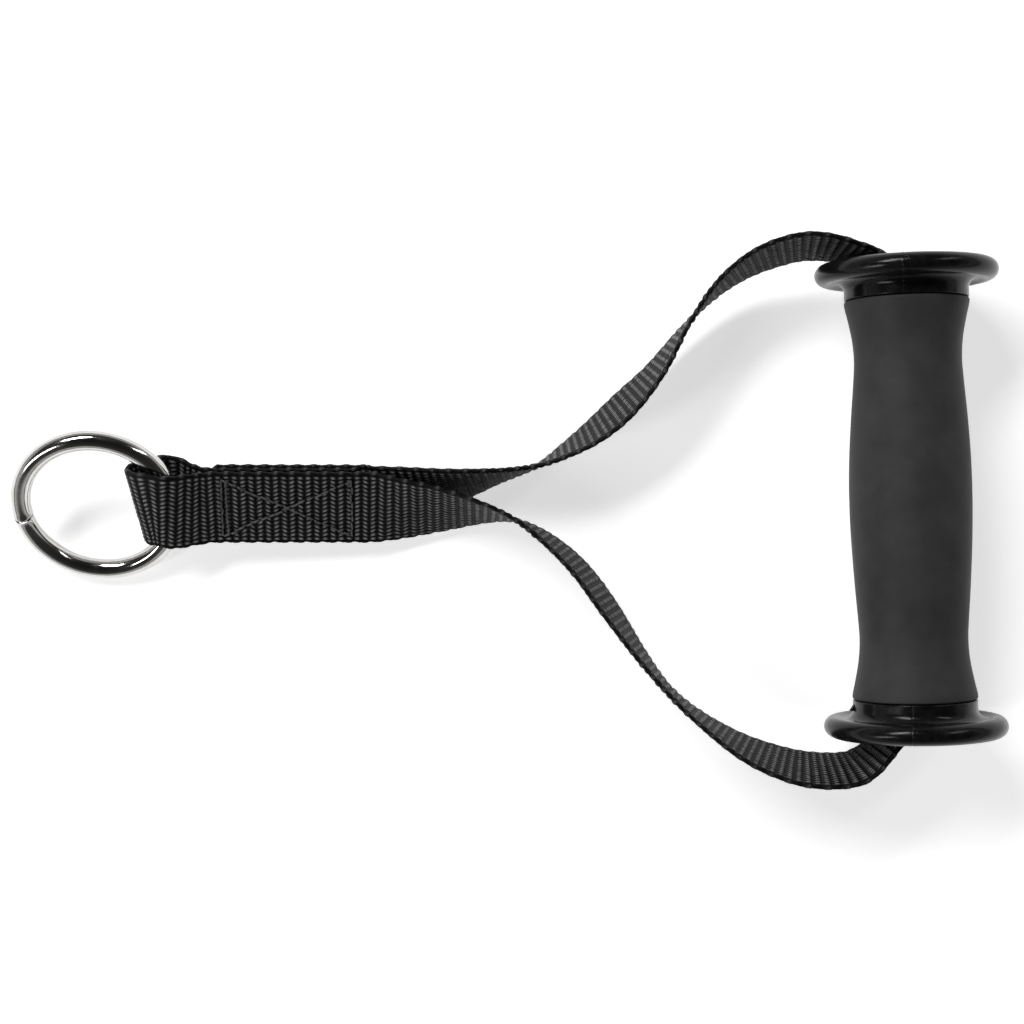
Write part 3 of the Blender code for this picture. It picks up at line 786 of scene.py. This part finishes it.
def build_cap(name, over, material):
    """End cap with its marks; over turns it to the other end of the handle."""
    place = handle_place()
    if over:
        place = place @ Matrix.Rotation(math.pi, 4, "X")
    up = (math.pi / 2.0 + MARK_TURN) * (1.0 if over else -1.0)
    angles = turn_angles((up % (2.0 * np.pi), (up + np.pi) % (2.0 * np.pi)))
    cap = turned(name, cap_outline(), place, material, angles, cap_shift(up), 50.0)
    marks = many_tubes(f"{name}_marks", [gate_mark(place, up, over), nib(place, not over)], material)
    return cap, marks


# ---- materials -------------------------------------------------------------------------


def new_material(name, colour, roughness, metallic=0.0):
    made = bpy.data.materials.new(name)
    made.use_nodes = True
    shader = made.node_tree.nodes["Principled BSDF"]
    shader.inputs["Base Color"].default_value = (*colour, 1.0)
    shader.inputs["Roughness"].default_value = roughness
    shader.inputs["Metallic"].default_value = metallic
    return made, made.node_tree.nodes, made.node_tree.links, shader


def noise(nodes, links, vector, scale, detail=3.0, stretch=(1.0, 1.0, 1.0)):
    """Noise read in stretched coordinates; returns its value socket."""
    mapping = nodes.new("ShaderNodeMapping")
    mapping.inputs["Scale"].default_value = stretch
    links.new(vector, mapping.inputs["Vector"])
    texture = nodes.new("ShaderNodeTexNoise")
    texture.inputs["Scale"].default_value = scale
    texture.inputs["Detail"].default_value = detail
    links.new(mapping.outputs["Vector"], texture.inputs["Vector"])
    return texture.outputs["Fac"]


def spread(nodes, links, value, low, high, start=0.3, end=0.7):
    """A value remapped from start..end to low..high."""
    node = nodes.new("ShaderNodeMapRange")
    for label, number in (("From Min", start), ("From Max", end), ("To Min", low), ("To Max", high)):
        node.inputs[label].default_value = number
    links.new(value, node.inputs["Value"])
    return node.outputs["Result"]


def ramp(nodes, links, value, stops):
    """Colour ramp with stops of place and grey or colour."""
    node = nodes.new("ShaderNodeValToRGB")
    elements = node.color_ramp.elements
    while len(elements) < len(stops):
        elements.new(0.5)
    for element, (place, colour) in zip(elements, stops):
        element.position = place
        element.color = (*colour, 1.0) if isinstance(colour, tuple) else (colour, colour, colour, 1.0)
    links.new(value, node.inputs["Fac"])
    return node.outputs["Color"]


def math_node(nodes, links, operation, first, second):
    node = nodes.new("ShaderNodeMath")
    node.operation = operation
    for socket, value in zip(node.inputs, (first, second)):
        if isinstance(value, float):
            socket.default_value = value
        else:
            links.new(value, socket)
    return node.outputs["Value"]


def mix_colours(nodes, links, share, first, second, blend="MIX"):
    node = nodes.new("ShaderNodeMix")
    node.data_type = "RGBA"
    node.blend_type = blend
    for label, value in (("Factor", share), ("A", first), ("B", second)):
        socket = node.inputs[label]
        if hasattr(value, "is_output"):
            links.new(value, socket)
        elif isinstance(value, tuple):
            socket.default_value = (*value, 1.0)
        else:
            socket.default_value = value
    return node.outputs["Result"]


def bump(nodes, links, height, strength, distance, shader):
    node = nodes.new("ShaderNodeBump")
    node.inputs["Strength"].default_value = strength
    node.inputs["Distance"].default_value = distance
    links.new(height, node.inputs["Height"])
    links.new(node.outputs["Normal"], shader.inputs["Normal"])


def coordinates(nodes, kind="Object"):
    return nodes.new("ShaderNodeTexCoord").outputs[kind]


def webbing_material():
    """Black nylon yarn with painted shade in its grooves, painted highlights on its crowns, and fine
    filaments that lean with the yarn.
    """
    made, nodes, links, shader = new_material("nylon_webbing", (0.012, 0.012, 0.013), 0.5)
    weave = coordinates(nodes, "UV")
    painted_light = nodes.new("ShaderNodeAttribute")
    painted_light.attribute_name = "painted_light"
    # painted shade and highlight: nearly black in the grooves, rising to a pale grey painted highlight on the
    # crowns
    painted_light_stops = ((0.0, 0.0008), (0.28, 0.0035), (0.5, 0.02), (0.75, 0.1), (1.0, 0.3))
    painted_shading = ramp(nodes, links, painted_light.outputs["Fac"], painted_light_stops)
    filaments = noise(nodes, links, weave, 260.0, 2.0, (0.6, 3.4, 1.0))
    worn = noise(nodes, links, weave, 22.0, 3.0)
    lines = ramp(nodes, links, filaments, ((0.32, 0.55), (0.68, 1.6)))
    tone = mix_colours(nodes, links, 1.0, painted_shading, lines, "MULTIPLY")
    patches = ramp(nodes, links, worn, ((0.3, 0.8), (0.7, 1.25)))
    links.new(mix_colours(nodes, links, 1.0, tone, patches, "MULTIPLY"), shader.inputs["Base Color"])
    links.new(spread(nodes, links, filaments, 0.42, 0.62), shader.inputs["Roughness"])
    shader.inputs["Specular IOR Level"].default_value = 0.12
    bump(nodes, links, filaments, 0.6, 0.00006, shader)
    return made


def thread_material():
    """Bonded sewing thread: black with a waxy gloss and faint twist."""
    made, nodes, links, shader = new_material("sewing_thread", (0.03, 0.03, 0.031), 0.38)
    ply = noise(nodes, links, coordinates(nodes), 1800.0, 2.0)
    links.new(ramp(nodes, links, ply, ((0.3, 0.03), (0.7, 0.12))), shader.inputs["Base Color"])
    links.new(spread(nodes, links, ply, 0.3, 0.5), shader.inputs["Roughness"])
    bump(nodes, links, ply, 0.5, 0.00004, shader)
    return made


def chrome_material():
    """Bright plating with hazy patches and fine drawing lines."""
    made, nodes, links, shader = new_material("chrome_plating", (0.74, 0.73, 0.71), 0.08, 1.0)
    place = coordinates(nodes)
    haze = noise(nodes, links, place, 160.0, 4.0)
    lines = noise(nodes, links, place, 900.0, 3.0, (1.0, 1.0, 3.0))
    plating = ramp(nodes, links, haze, ((0.3, (0.58, 0.57, 0.54)), (0.7, (0.68, 0.67, 0.66))))
    links.new(plating, shader.inputs["Base Color"])
    links.new(spread(nodes, links, haze, 0.05, 0.16), shader.inputs["Roughness"])
    bump(nodes, links, lines, 0.25, 0.00004, shader)
    return made


def cap_material():
    """Glossy moulded black plastic with faint flow marks and handling scuffs."""
    made, nodes, links, shader = new_material("moulded_plastic", (0.008, 0.008, 0.0085), 0.25)
    place = coordinates(nodes)
    flow = noise(nodes, links, place, 90.0, 4.0, (1.0, 3.0, 1.0))
    scuffs = noise(nodes, links, place, 420.0, 5.0)
    links.new(ramp(nodes, links, scuffs, ((0.35, 0.004), (0.75, 0.009))), shader.inputs["Base Color"])
    polish = spread(nodes, links, flow, 0.17, 0.27)
    worn = spread(nodes, links, scuffs, 0.0, 0.09, 0.5, 0.8)
    rough = math_node(nodes, links, "ADD", polish, worn)
    links.new(rough, shader.inputs["Roughness"])
    shader.inputs["Specular IOR Level"].default_value = 0.22
    height = math_node(nodes, links, "ADD", flow, math_node(nodes, links, "MULTIPLY", scuffs, 0.25))
    bump(nodes, links, height, 0.35, 0.0002, shader)
    return made


def tube_material():
    """Plain extruded plastic with fine lines along the tube."""
    made, nodes, links, shader = new_material("extruded_tube", (0.02, 0.02, 0.02), 0.5)
    place = coordinates(nodes)
    lines = noise(nodes, links, place, 500.0, 3.0, (1.0, 0.05, 1.0))
    links.new(ramp(nodes, links, lines, ((0.3, 0.012), (0.7, 0.03))), shader.inputs["Base Color"])
    links.new(spread(nodes, links, lines, 0.42, 0.6), shader.inputs["Roughness"])
    bump(nodes, links, lines, 0.3, 0.00005, shader)
    return made


def grip_material():
    """Dark grey moulded rubber: fine matt grain, broad handling smudges and a faint bloom."""
    made, nodes, links, shader = new_material("grip_rubber", (0.034, 0.034, 0.035), 0.55)
    place = coordinates(nodes)
    smudges = noise(nodes, links, place, 34.0, 4.0, (1.0, 0.8, 1.0))
    bloom = noise(nodes, links, place, 120.0, 5.0)
    grain = noise(nodes, links, place, 2600.0, 2.0)
    base = ramp(nodes, links, smudges, ((0.28, (0.040, 0.040, 0.041)), (0.72, (0.058, 0.058, 0.059))))
    fine = ramp(nodes, links, bloom, ((0.3, 0.86), (0.7, 1.12)))
    links.new(mix_colours(nodes, links, 1.0, base, fine, "MULTIPLY"), shader.inputs["Base Color"])
    handled = spread(nodes, links, smudges, 0.46, 0.6)
    rough = math_node(nodes, links, "ADD", handled, spread(nodes, links, bloom, -0.04, 0.05))
    links.new(rough, shader.inputs["Roughness"])
    shader.inputs["Specular IOR Level"].default_value = 0.1
    height = math_node(nodes, links, "ADD", grain, math_node(nodes, links, "MULTIPLY", bloom, 0.8))
    bump(nodes, links, height, 0.4, 0.00005, shader)
    return made


# ---- studio -----------------------------------------------------------------------------


def floor():
    """Pale table top that glows a little, so that it is nearly white where the object casts no shade."""
    mesh = bpy.data.meshes.new("floor")
    far = FLOOR_HALF
    corners = [(-far, -far, 0.0), (far, -far, 0.0), (far, far, 0.0), (-far, far, 0.0)]
    mesh.from_pydata(corners, [], [(0, 1, 2, 3)])
    made, _, _, shader = new_material("pale_floor", (FLOOR_TONE,) * 3, 0.9)
    shader.inputs["Specular IOR Level"].default_value = 0.1
    shader.inputs["Emission Color"].default_value = (1.0, 1.0, 1.0, 1.0)
    shader.inputs["Emission Strength"].default_value = FLOOR_GLOW
    base = link("floor", mesh, made)
    base.location.z = -FLOOR_DROP


def area_light(name, place, size, power):
    """Softbox aimed at the middle of the object."""
    lamp = bpy.data.lights.new(name, "AREA")
    lamp.shape = "RECTANGLE"
    lamp.size, lamp.size_y = size
    lamp.energy = power
    made = bpy.data.objects.new(name, lamp)
    made.location = place
    made.rotation_euler = (Vector((0.0, 0.0, 0.02)) - Vector(place)).to_track_quat("-Z", "Y").to_euler()
    bpy.context.scene.collection.objects.link(made)


def studio():
    """Three softboxes, dim walls with one pale band for reflections, and a plain backdrop."""
    world = bpy.data.worlds.new("studio")
    world.use_nodes = True
    nodes = world.node_tree.nodes
    links = world.node_tree.links
    height = nodes.new("ShaderNodeSeparateXYZ")
    links.new(nodes.new("ShaderNodeTexCoord").outputs["Generated"], height.inputs[0])
    walls = ramp(nodes, links, height.outputs["Z"], WALLS)
    seen = nodes.new("ShaderNodeLightPath").outputs["Is Camera Ray"]
    around = mix_colours(nodes, links, seen, walls, BACKDROP)
    links.new(around, nodes["Background"].inputs["Color"])
    scene = bpy.context.scene
    scene.world = world
    scene.view_settings.view_transform = "Standard"
    for lamp in LAMPS:
        area_light(*lamp)
    floor()


def camera():
    """The photo's camera: straight down from a little over half a metre."""
    lens = bpy.data.cameras.new("view")
    lens.sensor_width = 36.0
    lens.lens = CAMERA_LENS
    made = bpy.data.objects.new("view", lens)
    made.location = CAMERA_PLACE
    bpy.context.scene.collection.objects.link(made)
    bpy.context.scene.camera = made


# ---- the whole ------------------------------------------------------------------------------


def build_object():
    """Every piece, with the body that it rides on and the CAD nodes that it replaces; the handle's pieces
    carry a slot name that nothing uses.
    """
    route = Route()

    nylon = webbing_material()
    loop, lower, run, upper = build_webbing(route, nylon)
    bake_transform(loop)
    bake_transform(lower)
    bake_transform(upper)
    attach(run, "strap_arms")
    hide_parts("webbing_hidden_end", "webbing_ring_fold")
    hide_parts("webbing_front_layer", "webbing_lower_arm")
    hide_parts("webbing_upper_arm", "webbing_back_layer")
    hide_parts("webbing_tube_run")

    thread = thread_material()
    for name, node, layer, side in (
        ("needle_stitches", "stitching_needle_thread", 1, 1.0),
        ("bobbin_stitches", "stitching_bobbin_thread", -1, -1.0),
    ):
        sewn = many_tubes(name, stitches_on(layer, side), thread)
        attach(sewn, "strap_tab")
        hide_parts(node)

    ring = build_ring(chrome_material())
    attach(ring, "ring")
    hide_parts("welded_ring")

    plastic = cap_material()
    pieces = [
        (build_grip(grip_material()), "grip_sleeve", "grip"),
        (build_tube(tube_material()), "core_tube", "tube"),
    ]
    for name, over in (("end_cap_upper", False), ("end_cap_lower", True)):
        cap, marks = build_cap(f"moulded_{name}", over, plastic)
        pieces += [(cap, name, "caps"), (marks, None, "caps")]
    for piece, node, slot in pieces:
        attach(piece, "handle")
        if node:
            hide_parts(node)


camera()
studio()
build_object()
